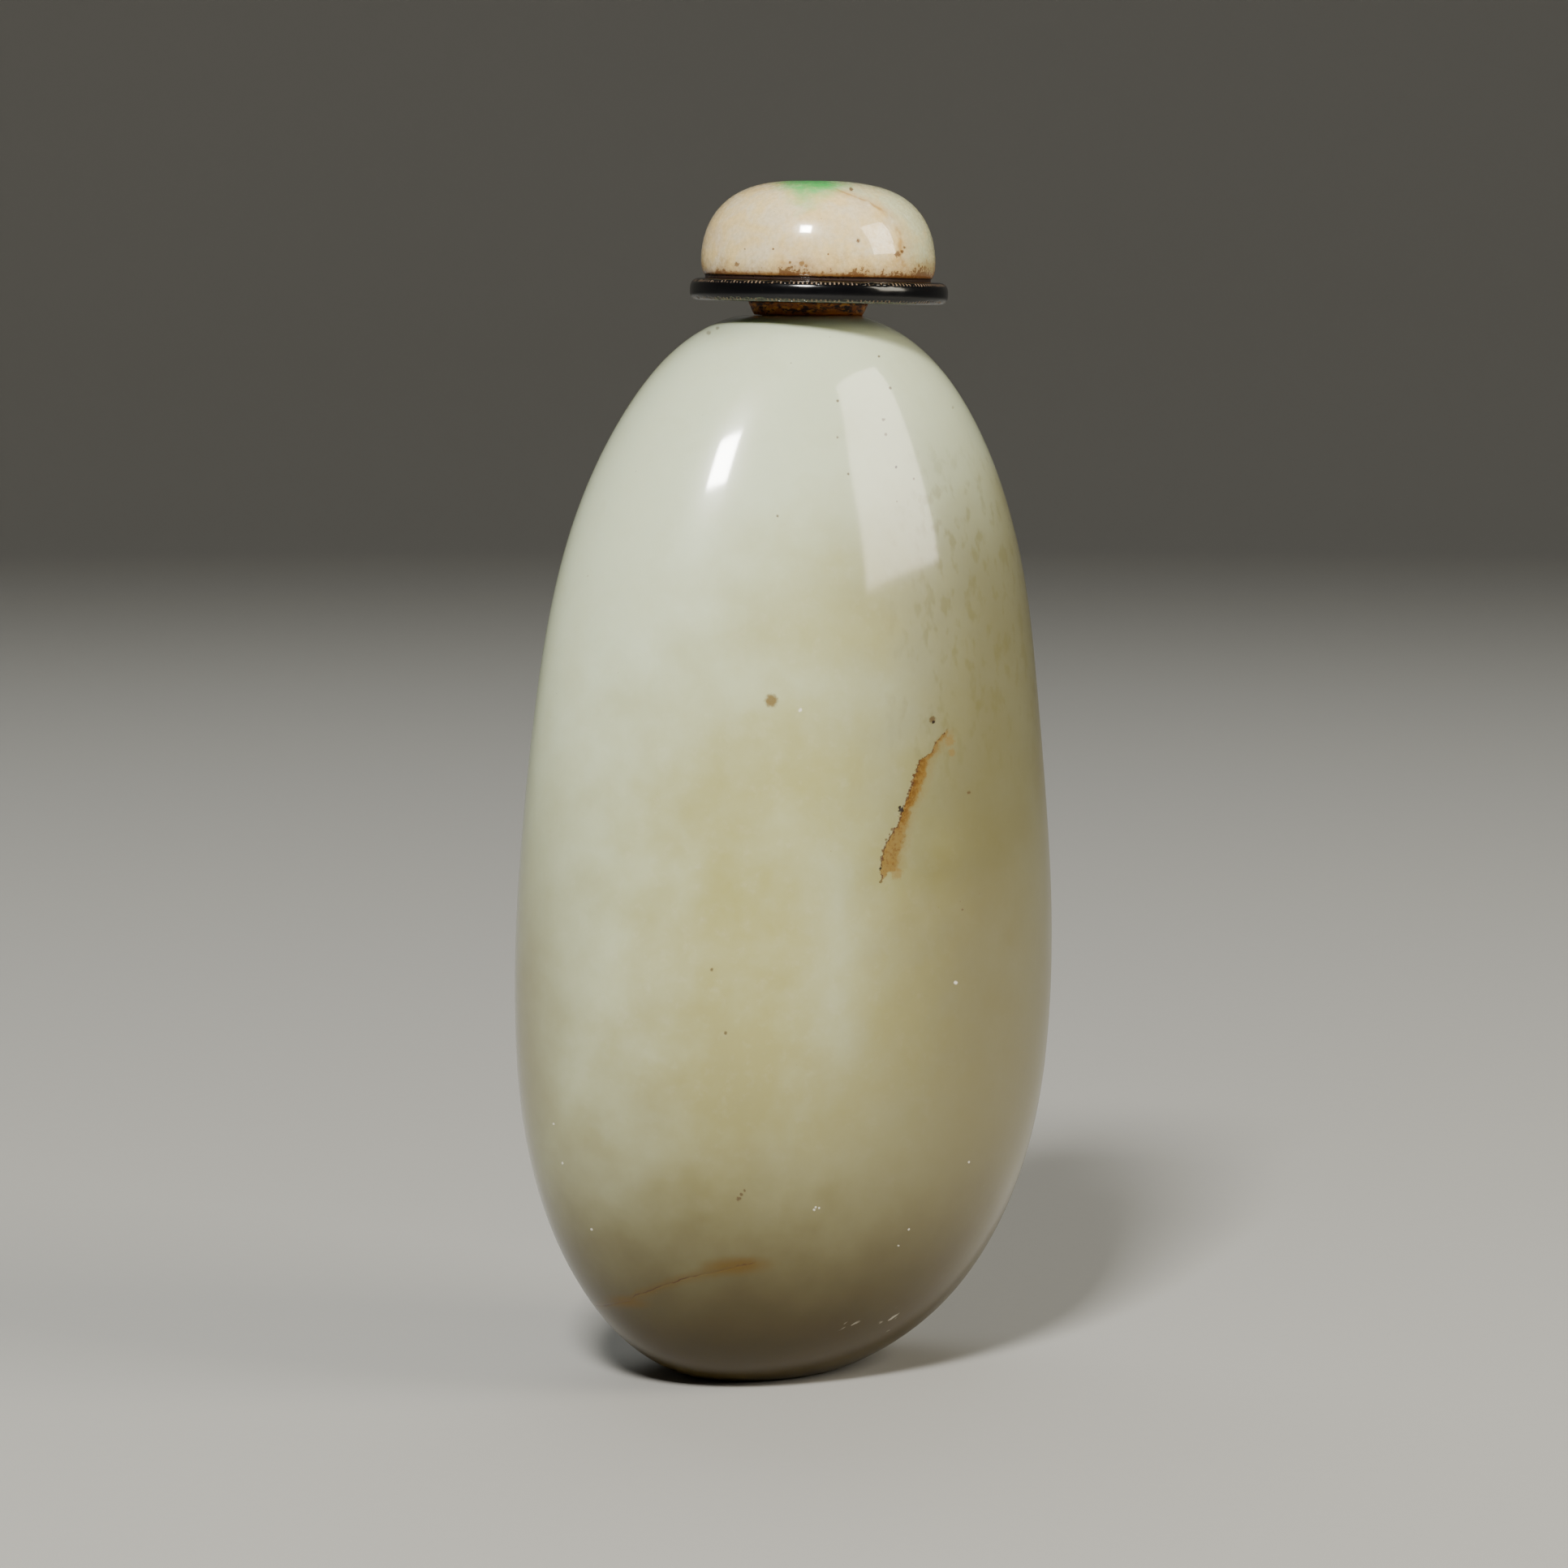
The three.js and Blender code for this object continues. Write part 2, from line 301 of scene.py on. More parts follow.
class Finish:
    """A material, its shader and the places that its patterns are laid out by, in millimetres."""

    def __init__(self, name, **plain):
        self.material = bpy.data.materials.new(name)
        self.material.use_nodes = True
        self.tree = self.material.node_tree
        self.shader = self.tree.nodes["Principled BSDF"]
        for socket, value in plain.items():
            self.shader.inputs[socket_name(socket)].default_value = value
        metres = self.node("ShaderNodeTexCoord", output="Object")
        self.place = self.vector("SCALE", metres, Scale=1 / MM)
        self.across = self.along(ACROSS)
        self.towards = self.along(TOWARDS)
        self.height = self.along(Vector((0, 0, 1)))
        self.face = self.node("ShaderNodeCombineXYZ", {}, [self.across, self.height])

    def node(self, kind, settings=None, inputs=(), output=0):
        """Adds a node: its settings first, then the values or links of its sockets."""
        made = self.tree.nodes.new(kind)
        for name, value in (settings or {}).items():
            if name == "points":
                self.set_points(made.mapping, value)
            else:
                setattr(made, name, value)
        pairs = inputs.items() if isinstance(inputs, dict) else enumerate(inputs)
        for key, value in pairs:
            self.feed(made.inputs[key], value)
        return Number(self, made.outputs[output])

    def feed(self, socket, value):
        if isinstance(value, Number):
            self.tree.links.new(value.socket, socket)
        else:
            socket.default_value = value

    def set_points(self, mapping, points):
        curve = mapping.curves[0]
        while len(curve.points) < len(points):
            curve.points.new(1, 1)
        for point, (x, y) in zip(curve.points, points):
            point.location = (x, y)
            point.handle_type = "VECTOR"
        mapping.update()

    def vector(self, operation, first, second=(0, 0, 0), output=0, **named):
        return self.node(
            "ShaderNodeVectorMath", {"operation": operation}, {0: first, 1: second, **named}, output
        )

    def along(self, direction):
        """How far a point lies along a direction from the origin."""
        return self.vector("DOT_PRODUCT", self.place, tuple(direction), output="Value")

    def rise(self, value, low, high):
        """0 at low, 1 at high and smooth between them. It falls where high is the lesser."""
        return self.node(
            "ShaderNodeMapRange", {"interpolation_type": "SMOOTHSTEP"}, [value, low, high, 0.0, 1.0]
        )

    def clouds(self, size, seed, detail=2.0, roughness=0.5, distortion=0.0, place=None):
        """Soft noise from 0 to 1, whose clouds are about so many millimetres across."""
        shifted = self.vector("ADD", place or self.place, (17.3 * seed, -9.1 * seed, 5.7 * seed))
        wanted = {
            "Vector": shifted, "Scale": 1 / size, "Detail": detail, "Roughness": roughness,
            "Distortion": distortion,
        }
        return self.node("ShaderNodeTexNoise", {}, wanted)

    def specks(self, spacing, radius, seed):
        """Scattered dots: 1 inside one and 0 between them."""
        shifted = self.vector("ADD", self.place, (11.9 * seed, 7.7 * seed, -3.3 * seed))
        distance = self.node(
            "ShaderNodeTexVoronoi", {"feature": "F1"}, {"Vector": shifted, "Scale": 1 / spacing}
        )
        edge = radius / spacing
        full = 0.6 * edge
        return self.rise(distance, edge, full)

    def blot(self, centre, width, height, softness, ragged):
        """An oval on the marked face: 1 in its middle and 0 outside it."""
        offset = self.vector("SUBTRACT", self.face, (*centre, 0))
        scaled = self.vector("MULTIPLY", offset, (2 / width, 2 / height, 0))
        distance = self.vector("LENGTH", scaled, output="Value") + ragged
        return self.rise(distance, 1 + softness, 1 - softness)

    def blob(self, centre, reach, softness, ragged):
        """A rounded patch in the depth of the stone, by its reach across, towards and up."""
        spot = self.node("ShaderNodeCombineXYZ", {}, [self.across, self.towards, self.height])
        offset = self.vector("SUBTRACT", spot, centre)
        scaled = self.vector("DIVIDE", offset, reach)
        distance = self.vector("LENGTH", scaled, output="Value") + ragged
        return self.rise(distance, 1 + softness, 1 - softness)

    def route(self, position, points):
        """Where a jagged line through points is at a position along it."""
        starts = [point[0] for point in points]
        values = [point[1] for point in points]
        start, end = min(starts), max(starts)
        low, high = min(values), max(values)
        shares = sorted(((x - start) / (end - start), (y - low) / (high - low)) for x, y in points)
        share = (position - start) / (end - start)
        curve = self.node("ShaderNodeFloatCurve", {"points": shares}, {"Value": share})
        return curve * (high - low) + low

    def near(self, dots):
        """How far off the nearest of several dots is, in half widths of that dot."""
        nearest = None
        for across, height, width in dots:
            off = self.vector("DISTANCE", self.face, (across, height, 0), output="Value") * (2 / width)
            nearest = nearest.least(off) if nearest else off
        return nearest

    def attribute(self, name):
        """A number that a piece's mesh holds at each of its points."""
        return self.node("ShaderNodeAttribute", {"attribute_name": name}, output="Fac")

    def mix(self, mask, under, over):
        """One colour laid over another where a mask is 1."""
        first, second, mixed = 6, 7, 2  # the node's sockets for colours
        under, over = (one if isinstance(one, Number) else (*one, 1) for one in (under, over))
        inputs = {0: mask, first: under, second: over}
        return self.node("ShaderNodeMix", {"data_type": "RGBA"}, inputs, mixed)

    def bump(self, height, depth, under=None):
        """Fine relief so many millimetres deep, over an earlier one."""
        wanted = {"Height": height, "Distance": depth * MM, "Strength": 1.0}
        if under:
            wanted["Normal"] = under
        return self.node("ShaderNodeBump", {}, wanted)

    def surface(self, **wanted):
        for socket, value in wanted.items():
            self.feed(self.shader.inputs[socket_name(socket)], value)
        return self.material


def jade_finish(settings):
    """Pale celadon jade with cottony clouds, olive mottles, ochre stains, a fissure and a hairline."""
    jade = Finish(
        "pale_jade", ior=1.62, subsurface_weight=0.3, subsurface_radius=(1.0, 0.9, 0.6),
        subsurface_scale=1.5 * MM, specular_ior_level=0.2, coat_roughness=0.08, coat_ior=1.57,
    )
    ragged = jade.clouds(3.4, seed=4, detail=3) * 1.1 - 0.55
    front = jade.rise(jade.towards, -2, 4)
    colour = jade_ground(jade, settings, ragged, front)
    colour, edge = fissure_stain(jade, settings, colour, front)
    colour = hairline_stain(jade, settings, colour, ragged, front)
    colour = jade_specks(jade, colour, front)
    peel = jade.bump(jade.clouds(0.42, seed=13, detail=1), 0.0026)
    polish = jade.bump(jade.clouds(0.13, seed=14, detail=1), 0.001, peel)
    rough = 0.3 + ragged * 0.06 + edge * 0.3
    grain = jade.clouds(0.2, seed=15, detail=3, roughness=0.7)
    dull_base = jade.rise(jade.height, 14, 2) * 0.8
    dull_edge = jade.rise(jade.across, 14, 18.5) * 0.6
    coat = (1.15 - grain * 0.3) * (1 - dull_base.most(dull_edge))
    return jade.surface(base_color=colour, roughness=rough, normal=polish, coat_weight=coat.least(1))


def jade_ground(jade, settings, ragged, front):
    """The jade's zones: pale at the top and left, olive down the middle and brown skin at the base, with
    painted shade darkening the right flank, the lower left, the lower part and the base.
    """
    cotton = jade.clouds(2.6, seed=2, detail=4, roughness=0.6, distortion=0.3)
    olive = None
    for centre, width, height in OLIVE_ZONES:
        one = jade.blot(centre, width, height, 0.95, ragged)
        olive = olive.most(one) if olive else one
    behind = jade.rise(jade.clouds(9, seed=6, detail=3), 0.36, 0.74) * (1 - front)
    # right: painted shade with browner jade over the right flank, where less light reaches it.
    right = jade.rise(jade.across + ragged * 3, 1, 14) * jade.rise(jade.height, 66, 48)
    # left: painted shade over the lower left.
    left = jade.rise(jade.across + ragged * 2, -7, -17) * jade.rise(jade.height, 46, 20)
    # Painted shade: the jade turns denser and darker towards the bottom.
    shade_downwards = jade.rise(jade.height + ragged * 5, 58, 4)
    streak = jade.rise((jade.across - jade.height * 0.32 + 4.0 + ragged * 2).size(), 3.4, 0)
    streak = streak * jade.rise(jade.height, 9, 15) * jade.rise(jade.height, 32, 25) * front
    density_and_shade = (olive * front * 0.72).most(behind * 0.6) + shade_downwards * 0.45 + (cotton - 0.5) * 0.45
    density_and_shade = density_and_shade - streak * 0.18
    colour = jade.mix(density_and_shade.most(0).least(1), settings.pale, settings.deep)
    wisps = jade.rise(jade.clouds(0.8, seed=3, detail=3, roughness=0.65), 0.5, 0.8)
    colour = jade.mix(wisps * 0.1, colour, paint(232, 232, 208))
    colour = jade.mix(right * 0.84, colour, settings.flank_jade_and_shade)
    # low: painted shade over the lower part, laid on as greyer jade here and on the lower left.
    low = jade.rise(jade.height + ragged * 4, 30, 6)
    colour = jade.mix((low * 0.9).most(left * 0.95), colour, settings.grey_jade_and_shade)
    # base: the brown skin round the base, darkened further by painted shade.
    base = jade.rise(jade.height + ragged * 3, 17, 2)
    colour = jade.mix(base * 0.95, colour, settings.skin)
    upright = jade.vector("MULTIPLY", jade.place, (1, 1, 0.6))
    mottle = jade.rise(jade.clouds(0.75, seed=5, detail=2, place=upright), 0.5, 0.7)
    mottled = jade.rise(jade.across, 6, 11) * jade.rise(jade.height, 34, 42)
    mottled = mottled * jade.rise(jade.height, 60, 52)
    return jade.mix(mottle * mottled * 0.42, colour, paint(108, 102, 58))


def fissure_stain(jade, settings, colour, front):
    """The russet fissure: a jagged, broken brown line with an ochre stain to its right."""
    jitter = jade.clouds(0.3, seed=7, detail=3, roughness=0.7) * 0.6 - 0.3
    line = jade.route(jade.height, [(height, across) for across, height in FISSURE])
    aside = jade.across - line + jitter
    foot = 31.75 + (aside * 1.1).most(0).least(0.55)
    inside = jade.rise(jade.height - foot, 0, 0.15) * jade.rise(jade.height, 40.75, 40.4) * front
    streaks = jade.clouds(0.4, seed=8, detail=4, roughness=0.7)
    beyond = aside - jade.route(jade.height, FISSURE_STAIN) + (streaks - 0.5) * 0.4
    halo = jade.rise(aside, -0.15, 0.1) * jade.rise(beyond, 0.75, -0.1) * inside
    colour = jade.mix(halo * 0.3, colour, settings.ochre)
    stain = jade.rise(aside, -0.06, 0.03) * jade.rise(beyond, 0.12, -0.2) * inside
    rich = jade.rise(jade.height + streaks, 35.0, 36.2) * jade.rise(jade.height, 39.6, 38.8)
    colour = jade.mix(stain * (streaks * 0.6 + 0.32 + rich * 0.2).least(0.95), colour, settings.ochre)
    flecks = jade.rise(jade.clouds(0.22, seed=18, detail=3, roughness=0.7), 0.52, 0.6)
    rich = rich * jade.rise(aside, 0.55, 0.15)
    deep = stain * (flecks * 0.45).most(rich * jade.rise(streaks, 0.38, 0.58) * 0.85)
    colour = jade.mix(deep, colour, paint(92, 56, 8))
    broken = jade.rise(jade.clouds(0.2, seed=9), 0.38, 0.52)
    edge = jade.rise(aside.size(), 0.085, 0.035) * inside * broken
    return jade.mix(edge * 0.9, colour, settings.crack), edge


def hairline_stain(jade, settings, colour, ragged, front):
    """The hairline near the base, broken here and there, with rust along it and two smudges."""
    jitter = jade.clouds(0.6, seed=17, detail=2) * 0.3 - 0.15
    line = jade.route(jade.across, HAIRLINE)
    above = jade.height - line + jitter
    inside = jade.rise(jade.across, -10.6, -10.1) * jade.rise(jade.across, -0.3, -0.9) * front
    broken = jade.rise(jade.clouds(1.2, seed=10), 0.42, 0.56)
    rust = paint(98, 74, 4)
    colour = jade.mix(jade.rise(above.size(), 0.6, 0.03) * inside * 0.5, colour, rust)
    for centre, width, height in HAIRLINE_SMUDGES:
        smudge = jade.blot(centre, width, height, 0.8, ragged) * front
        colour = jade.mix(smudge * 0.85, colour, rust)
    thread = jade.rise(above.size(), 0.06, 0.02) * inside * (broken * 0.75 + 0.2)
    return jade.mix(thread, colour, settings.crack)


def jade_specks(jade, colour, front):
    """The single specks that the eye picks out on the front, faint scuffs and finer specks all over."""
    ragged = jade.clouds(0.16, seed=11, detail=2, roughness=0.6) * 2 - 1
    for dots, shade, strength, break_up in (
        (BLOT, (118, 92, 46), 0.85, 0.4), (OCHRE_DOTS, (134, 100, 40), 0.5, 1),
        (UMBER_DOTS, (86, 62, 32), 0.8, 1), (SOOT_DOTS, (34, 20, 10), 1, 1),
        (CHALK_DOTS, (238, 234, 220), 0.8, 1),
    ):
        dot = jade.rise(jade.near(dots) + ragged * break_up, 1.4, 0.6) * front
        colour = jade.mix(dot * strength, colour, paint(*shade))
    lengthwise = jade.across * 0.26 + jade.height * 0.15
    crosswise = jade.height * 1.1 - jade.across * 0.65
    slant = jade.node("ShaderNodeCombineXYZ", {}, [lengthwise, crosswise])
    scratches = jade.rise(jade.clouds(0.35, seed=19, detail=2, place=slant), 0.62, 0.68)
    scuffed = jade.rise(jade.near(SCUFFS), 1.2, 0.3) * front
    colour = jade.mix(scratches * scuffed * 0.55, colour, paint(226, 218, 200))
    few = jade.rise(jade.clouds(6, seed=12), 0.52, 0.64)
    return jade.mix(jade.specks(1.6, 0.06, seed=1) * few * 0.6, colour, paint(104, 84, 52))


def cap_finish(settings):
    """Cream jadeite with an icy side, an emerald patch, a brown vein and grime at its base."""
    cream = Finish(
        "cream_jadeite", ior=1.66, subsurface_weight=0.3, subsurface_radius=(1.0, 0.9, 0.6),
        subsurface_scale=1.2 * MM, specular_ior_level=0.25, coat_roughness=0.06, coat_ior=1.75,
    )
    low, high = (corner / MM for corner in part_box("cap"))
    front = cream.rise(cream.towards, -1, 1)
    milk = cream.clouds(1.7, seed=21, detail=4, roughness=0.6, distortion=0.6)
    colour = cream.mix(cream.rise(milk, 0.34, 0.7), settings.cream, paint(226, 212, 176))
    blush = cream.rise(cream.clouds(4, seed=26, detail=3), 0.5, 0.7)
    blush = blush * cream.rise(cream.height, high.z, low.z)
    colour = cream.mix(blush * 0.5, colour, paint(214, 176, 122))

    ragged = cream.clouds(1.6, seed=22, detail=4, roughness=0.6) * 1.2 - 0.6
    line = cream.route(cream.height, [(height, across) for across, height in VEIN])
    aside = cream.across - line + ragged * 0.5
    icy = cream.rise(aside, -0.4, 1.2) * (cream.rise(milk, 0.3, 0.6) * 0.4 + 0.6)
    colour = cream.mix(icy * 0.75, colour, settings.icy)
    vein = cream.rise(aside.size(), 1.1, 0.1) * 0.35 + cream.rise(aside.size(), 0.22, 0.02) * 0.4
    vein = vein * front * cream.rise(cream.clouds(0.9, seed=27), 0.3, 0.6)
    colour = cream.mix(vein, colour, paint(172, 128, 50))
    green = cream.blob((2.9, -0.3, high.z - 0.2), (1.8, 4.0, 2.0), 0.6, ragged)
    colour = cream.mix(green * 0.95, colour, settings.emerald)

    small = cream.clouds(0.12, seed=28, detail=3, roughness=0.7) * 2.4 - 1.2
    dots = cream.rise(cream.near(CAP_DOTS) + small, 1.4, 0.6) * front
    colour = cream.mix(dots * 0.85, colour, paint(96, 52, 16))
    grain = cream.rise(cream.clouds(0.3, seed=34, detail=3, roughness=0.7), 0.4, 0.65)
    colour = cream.mix(grain * 0.2, colour, paint(172, 146, 104))
    axis = stopper_axis()
    up = cream.along(axis) - reach_along("cap", axis)[0] / MM
    near_base = cream.rise(up, 3.5, 0.3)
    dusty = cream.rise(cream.clouds(1.2, seed=29), 0.62 - near_base * 0.25, 0.7)
    dust = cream.specks(0.42, 0.05, seed=3) * dusty
    colour = cream.mix(dust * 0.75, colour, paint(128, 80, 34))
    dirt = cream.clouds(0.26, seed=23, detail=5, roughness=0.75)
    heavier = cream.rise(cream.clouds(1.6, seed=32), 0.42, 0.6) * 0.5
    heavier = cream.rise(cream.across, 3, 8) * 0.25 + heavier
    tan = cream.rise(up + dirt * 2 - heavier, 2.1, 0.9)
    colour = cream.mix(tan * 0.6, colour, paint(170, 130, 60))
    band = cream.rise(up + dirt * 3.4 - heavier, 1.75, 1.5)
    colour = cream.mix(band * 0.85, colour, settings.grime)
    rust = cream.rise(up + dirt * 0.3, 0.5, 0.25)
    colour = cream.mix(rust * 0.7, colour, paint(124, 74, 18))
    glue = cream.rise(up + dirt * 0.1, 0.14, 0.05)
    colour = cream.mix(glue, colour, paint(44, 22, 8))
    peel = cream.bump(cream.clouds(0.34, seed=24, detail=2), 0.0045)
    worn = cream.bump(dirt, 0.005, peel)
    rough = 0.22 + band * 0.4 + milk * 0.08
    crystals = cream.rise(cream.clouds(0.24, seed=25, detail=4, roughness=0.75), 0.44, 0.62)
    coat = (1 - crystals * 0.6) * (1 - band * 0.7)
    return cream.surface(base_color=colour, roughness=rough, normal=worn, coat_weight=coat)


def collar_finish(settings):
    """Polished black stone with rows of tiny pale chips along its two edges."""
    black = Finish("black_collar")
    tone = black.clouds(0.5, seed=31, detail=3)
    colour = black.mix(tone * 0.5, settings.black, paint(12, 12, 15))
    centre = sum(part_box("collar"), Vector()) / 2 / MM
    round_axis = (black.along((0, 1, 0)) - centre.y).angle(black.along((1, 0, 0)) - centre.x)
    ticks = black.rise((round_axis * TICKS).sine(), 0.1, 0.8)
    worn = black.rise(black.clouds(0.5, seed=33, detail=3), 0.4, 0.56)
    rows = black.rise(black.attribute("edges"), 0.72, 0.96)
    chipped = ticks * rows * worn
    dust = black.specks(0.55, 0.03, seed=5)
    colour = black.mix((chipped * 0.7).most(dust * 0.5), colour, paint(140, 116, 92))
    rough = 0.1 + tone * 0.14 + chipped * 0.4
    relief = black.bump(1 - chipped, 0.02)
    return black.surface(base_color=colour, roughness=rough, normal=relief)


def cork_finish(settings):
    """Old cork, stained from black-brown to orange and cracked across."""
    cork = Finish("dark_cork")
    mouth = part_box("bottle")[1].z / MM
    flat = cork.vector("MULTIPLY", cork.place, (1, 1, 2.2))
    mottle = cork.clouds(1.1, seed=41, detail=5, roughness=0.65, distortion=0.8, place=flat)
    colour = cork.mix(cork.rise(mottle, 0.42, 0.56), paint(36, 12, 4), settings.cork)
    gold = cork.rise(cork.clouds(0.7, seed=42, detail=4, place=flat), 0.5, 0.62)
    colour = cork.mix(gold * 0.85, colour, paint(196, 132, 44))
    colour = cork.mix(cork.rise(cork.height, mouth + 0.28, mouth + 0.08) * 0.8, colour, paint(196, 110, 22))
    crack = cork.rise(cork.clouds(0.4, seed=43, detail=4, place=flat), 0.44, 0.37)
    colour = cork.mix(crack * 0.85, colour, paint(22, 8, 4))
    relief = cork.bump(mottle - crack * 0.6, 0.05)
    return cork.surface(base_color=colour, roughness=0.45 + mottle * 0.3, normal=relief)


def floor_finish(settings):
    """Matt grey paper with faint fibres."""
    paper = Finish("floor_paper")
    fibres = paper.clouds(0.8, seed=51, detail=3)
    tone = paper.mix(fibres * 0.06, settings.floor, paint(150, 148, 142))
    return paper.surface(base_color=tone, roughness=0.8 + fibres * 0.1)


def stopper_axis():
    """The direction that the stopper stands in, which is a little out of true."""
    flats = [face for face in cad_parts["collar"].data.polygons if face.normal.z > 0.9]
    return max(flats, key=lambda face: face.area).normal.copy()


def reach_along(node, axis):
    """The lowest and the highest that a solid reaches along a direction."""
    reaches = [vertex.co.dot(axis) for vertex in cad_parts[node].data.vertices]
    return min(reaches), max(reaches)


def only(piece):
    """Makes a piece the one selected and active object."""
    bpy.ops.object.select_all(action="DESELECT")
    piece.select_set(True)
    bpy.context.view_layer.objects.active = piece


def copy_of(node, name):
    """A merged copy of a solid, of quads where it can be, left open in edit mode."""
    piece = bpy.data.objects.new(name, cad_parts[node].data.copy())
    bpy.context.scene.collection.objects.link(piece)
    piece.data.materials.clear()
    only(piece)
    bpy.ops.mesh.customdata_custom_splitnormals_clear()
    bpy.ops.object.mode_set(mode="EDIT")
    bpy.ops.mesh.select_mode(type="FACE")
    bpy.ops.mesh.select_all(action="SELECT")
    bpy.ops.mesh.remove_doubles(threshold=WELD)
    bpy.ops.mesh.tris_convert_to_quads(face_threshold=math.radians(40), shape_threshold=math.radians(60))
    return piece


def choose_faces(piece, test):
    """Selects the faces of a piece in edit mode that pass a test on their middle and normal."""
    bpy.ops.mesh.select_mode(type="FACE")
    bpy.ops.mesh.select_all(action="DESELECT")
    mesh = bmesh.from_edit_mesh(piece.data)
    for face in mesh.faces:
        face.select_set(bool(test(face.calc_center_median(), face.normal)))
    bmesh.update_edit_mesh(piece.data)
    if not any(face.select for face in mesh.faces):
        raise RuntimeError(f"{piece.name}: no face was found where one is to be worked on")


def choose_edges(piece, test):
    """Selects the edges of a piece in edit mode that pass a test on their middle and face angle."""
    bpy.ops.mesh.select_mode(type="EDGE")
    bpy.ops.mesh.select_all(action="DESELECT")
    mesh = bmesh.from_edit_mesh(piece.data)
    found = 0
    for edge in mesh.edges:
        middle = (edge.verts[0].co + edge.verts[1].co) / 2
        if len(edge.link_faces) == 2 and test(middle, edge.calc_face_angle()):
            edge.select_set(True)
            found += 1
    bmesh.update_edit_mesh(piece.data)
    if not found:
        raise RuntimeError(f"{piece.name}: no edge was found where one is to be worked on")


def flatten_end(piece, test, rim):
    """Turns a flat end of fanned triangles into one face with a narrow rim round it."""
    choose_faces(piece, test)
    bpy.ops.mesh.dissolve_faces()
    bpy.ops.mesh.inset(thickness=rim)


def patch_pole(piece, test):
    """Replaces a fan of triangles round a pole by an even grid."""
    choose_faces(piece, test)
    bpy.ops.mesh.dissolve_faces()
    bpy.ops.mesh.delete(type="ONLY_FACE")
    bpy.ops.mesh.select_mode(type="EDGE")
    bpy.ops.mesh.select_all(action="DESELECT")
    bpy.ops.mesh.select_non_manifold(use_wire=False, use_multi_face=False, use_non_contiguous=False)
    bpy.ops.mesh.fill_grid()


def apply_modifier(piece, kind, **settings):
    """Adds a modifier to a piece and applies it."""
    only(piece)
    modifier = piece.modifiers.new(kind.title(), kind)
    for name, value in settings.items():
        setattr(modifier, name, value)
    bpy.ops.object.modifier_apply(modifier=modifier.name)


def round_off(piece):
    """Leaves edit mode and turns a piece's facets into a smooth skin."""
    bpy.ops.object.mode_set(mode="OBJECT")
    apply_modifier(piece, "SUBSURF", levels=SMOOTHING, render_levels=SMOOTHING)


def weigh(piece, name, weight):
    """A vertex group whose weights come from a function of the vertex."""
    group = piece.vertex_groups.new(name=name)
    for vertex in piece.data.vertices:
        share = weight(vertex)
        if share > 0:
            group.add([vertex.index], min(share, 1), "REPLACE")
    return name


def step(value, low, high):
    """0 at low, 1 at high and smooth between them."""
    share = max(0, min(1, (value - low) / (high - low)))
    return share * share * (3 - 2 * share)


def ripple(piece, size, depth, group=""):
    """Gives a piece's skin the low waves that grinding by hand leaves."""
    texture = bpy.data.textures.new(f"{piece.name}_waves", "CLOUDS")
    texture.noise_scale = size
    texture.noise_depth = 1
    apply_modifier(
        piece, "DISPLACE", texture=texture, texture_coords="LOCAL", strength=depth, mid_level=0.5,
        vertex_group=group,
    )


def face_place(point):
    """A point's place on the marked face, in millimetres."""
    return Vector((point.dot(ACROSS), point.z)) / MM


def distance_to(route, place):
    """How far a place on the marked face is from a line through points."""
    nearest = math.inf
    for start, end in zip(route, route[1:]):
        first, along = Vector(start), Vector(end) - Vector(start)
        share = max(0, min(1, (place - first).dot(along) / along.length_squared))
        nearest = min(nearest, (place - first - along * share).length)
    return nearest


def cut_groove(piece, name, route, depth, width):
    """Refines the skin along a line on the marked face and sinks a fine broken groove in it."""
    reach = 0.6  # millimetres from the line to where the skin is left as it is
    fade = 1.6  # half widths of the groove from its line to where it has run out
    bpy.ops.object.mode_set(mode="EDIT")
    choose_faces(
        piece,
        lambda middle, normal: normal.dot(TOWARDS) > 0.1 and middle.dot(TOWARDS) > 0
        and distance_to(route, face_place(middle)) < reach,
    )
    bpy.ops.mesh.subdivide(number_cuts=6, smoothness=1)
    bpy.ops.object.mode_set(mode="OBJECT")
    half = width / MM / 2

    def weight(vertex):
        if vertex.normal.dot(TOWARDS) < 0.1 or vertex.co.dot(TOWARDS) < 0:
            return 0
        share = distance_to(route, face_place(vertex.co)) / half
        if share >= fade:
            return 0
        return step(fade - share, 0, fade) * (0.75 + 0.5 * noise.noise(vertex.co / (0.5 * MM)))

    group = weigh(piece, name, weight)
    apply_modifier(piece, "DISPLACE", strength=-depth, mid_level=0, vertex_group=group)


def dress(piece, material, node):
    """Smooths a finished piece, gives it its material and sets it in the frame for its solid."""
    only(piece)
    bpy.ops.object.shade_smooth()
    piece.vertex_groups.clear()
    piece.data.materials.append(material)
    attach(piece, "root")
    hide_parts(node)


